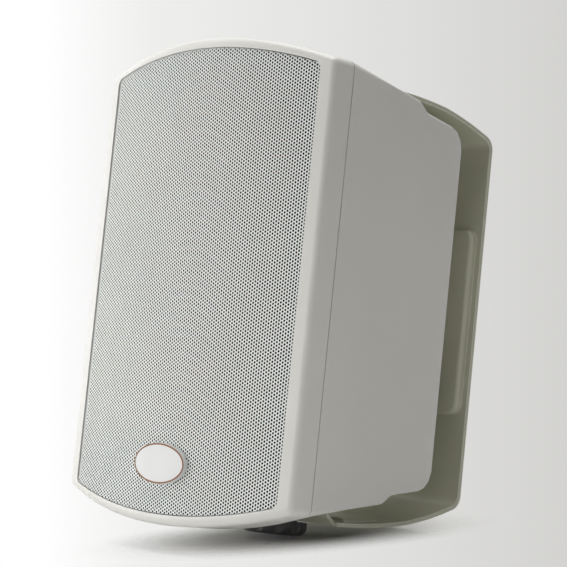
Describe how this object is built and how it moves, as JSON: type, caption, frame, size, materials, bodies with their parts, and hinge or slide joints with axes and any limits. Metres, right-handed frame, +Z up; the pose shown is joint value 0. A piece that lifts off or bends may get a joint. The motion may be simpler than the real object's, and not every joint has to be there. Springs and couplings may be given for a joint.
{
  "type": "outdoor loudspeaker",
  "caption": "Weatherproof two-way loudspeaker with a curved perforated grille, held in a C-shaped wall bracket by clamp knobs so that it can swivel.",
  "frame": {"origin": "middle of the bracket's wall face, at the centre of its four screw holes", "axes": "+Z up, +Y into the wall, the grille faces -Y, +X to the viewer's right"},
  "size_m": [0.196, 0.1838, 0.2835],
  "materials": {
    "bracket_plastic": "smooth satin moulded plastic, white",
    "knob_plastic": "satin moulded plastic, white",
    "stud_steel": "stainless steel",
    "insert_brass": "turned brass",
    "washer_rubber": "black rubber",
    "cabinet_plastic": "smooth satin moulded plastic, white",
    "front_plastic": "smooth satin moulded plastic, white",
    "gasket_rubber": "black foam rubber",
    "screw_steel": "stainless steel",
    "grille_paint": "white powder coat on perforated aluminium",
    "foam_black": "open black foam",
    "badge_plastic": "white gloss plate with a thin copper-brown rim",
    "basket_plastic": "glass-filled black plastic",
    "surround_rubber": "black butyl rubber",
    "cone_plastic": "dark polypropylene",
    "cap_plastic": "dark gloss plastic",
    "coil_metal": "copper wire on an aluminium former",
    "spider_cloth": "resin-treated woven cloth",
    "motor_steel": "zinc-plated steel",
    "magnet_ferrite": "dark sintered ferrite",
    "horn_plastic": "black moulded plastic",
    "dome_metal": "bare metal foil",
    "board_laminate": "green circuit laminate",
    "inductor_copper": "enamelled copper wire",
    "capacitor_plastic": "yellow film wrap",
    "resistor_ceramic": "white ceramic",
    "cup_plastic": "black moulded plastic",
    "terminal_brass": "gold-tone plated brass",
    "post_red": "red moulded plastic",
    "post_black": "black moulded plastic",
    "damping_wool": "white polyester wadding"
  },
  "bodies": {
    "bracket": {"wall_bracket": "bracket_plastic"},
    "cabinet": {"cabinet_shell": "cabinet_plastic", "front_baffle": "front_plastic", "baffle_gasket": "gasket_rubber", "baffle_screws": "screw_steel", "grille": "grille_paint", "grille_foam": "foam_black", "badge": "badge_plastic", "top_insert": "insert_brass", "bottom_insert": "insert_brass", "top_washer": "washer_rubber", "bottom_washer": "washer_rubber", "woofer_basket": "basket_plastic", "woofer_surround": "surround_rubber", "woofer_spider": "spider_cloth", "woofer_top_plate": "motor_steel", "woofer_magnet": "magnet_ferrite", "woofer_yoke": "motor_steel", "woofer_screws": "screw_steel", "tweeter_horn": "horn_plastic", "tweeter_plate": "motor_steel", "tweeter_diaphragm": "dome_metal", "tweeter_magnet": "magnet_ferrite", "tweeter_yoke": "motor_steel", "horn_screws": "screw_steel", "crossover_board": "board_laminate", "crossover_inductor": "inductor_copper", "crossover_capacitors": "capacitor_plastic", "crossover_resistor": "resistor_ceramic", "board_screws": "screw_steel", "terminal_cup": "cup_plastic", "terminal_studs": "terminal_brass", "terminal_screws": "screw_steel", "damping_pads": "damping_wool"},
    "top_clamp": {"top_knob": "knob_plastic", "top_stud": "stud_steel"},
    "bottom_clamp": {"bottom_knob": "knob_plastic", "bottom_stud": "stud_steel"},
    "woofer_motion": {"woofer_cone": "cone_plastic", "dust_cap": "cap_plastic", "voice_coil": "coil_metal"},
    "red_cap": {"red_post": "post_red"},
    "black_cap": {"black_post": "post_black"}
  },
  "joints": [
    {"name": "cabinet_swivel", "type": "hinge", "parent": "bracket", "child": "cabinet", "pos_m": [0, -0.088, 0], "axis": [0, 0, 1], "range_deg": [-24, 24]},
    {"name": "top_knob_turn", "type": "hinge", "parent": "bracket", "child": "top_clamp", "pos_m": [0, -0.088, 0.129], "axis": [0, 0, 1], "range_deg": [0, 360]},
    {"name": "bottom_knob_turn", "type": "hinge", "parent": "bracket", "child": "bottom_clamp", "pos_m": [0, -0.088, -0.129], "axis": [0, 0, -1], "range_deg": [0, 360]},
    {"name": "cone_travel", "type": "slide", "parent": "cabinet", "child": "woofer_motion", "axis": [0, 1, 0], "range_m": [-0.0025, 0.0025], "stiffness_N_per_m": 1000, "deforming": ["woofer_surround", "woofer_spider"]},
    {"name": "red_cap_turn", "type": "hinge", "parent": "cabinet", "child": "red_cap", "pos_m": [-0.011, -0.046, -0.0425], "axis": [0, 1, 0], "range_deg": [0, 360]},
    {"name": "black_cap_turn", "type": "hinge", "parent": "cabinet", "child": "black_cap", "pos_m": [0.011, -0.046, -0.0425], "axis": [0, 1, 0], "range_deg": [0, 360]}
  ]
}
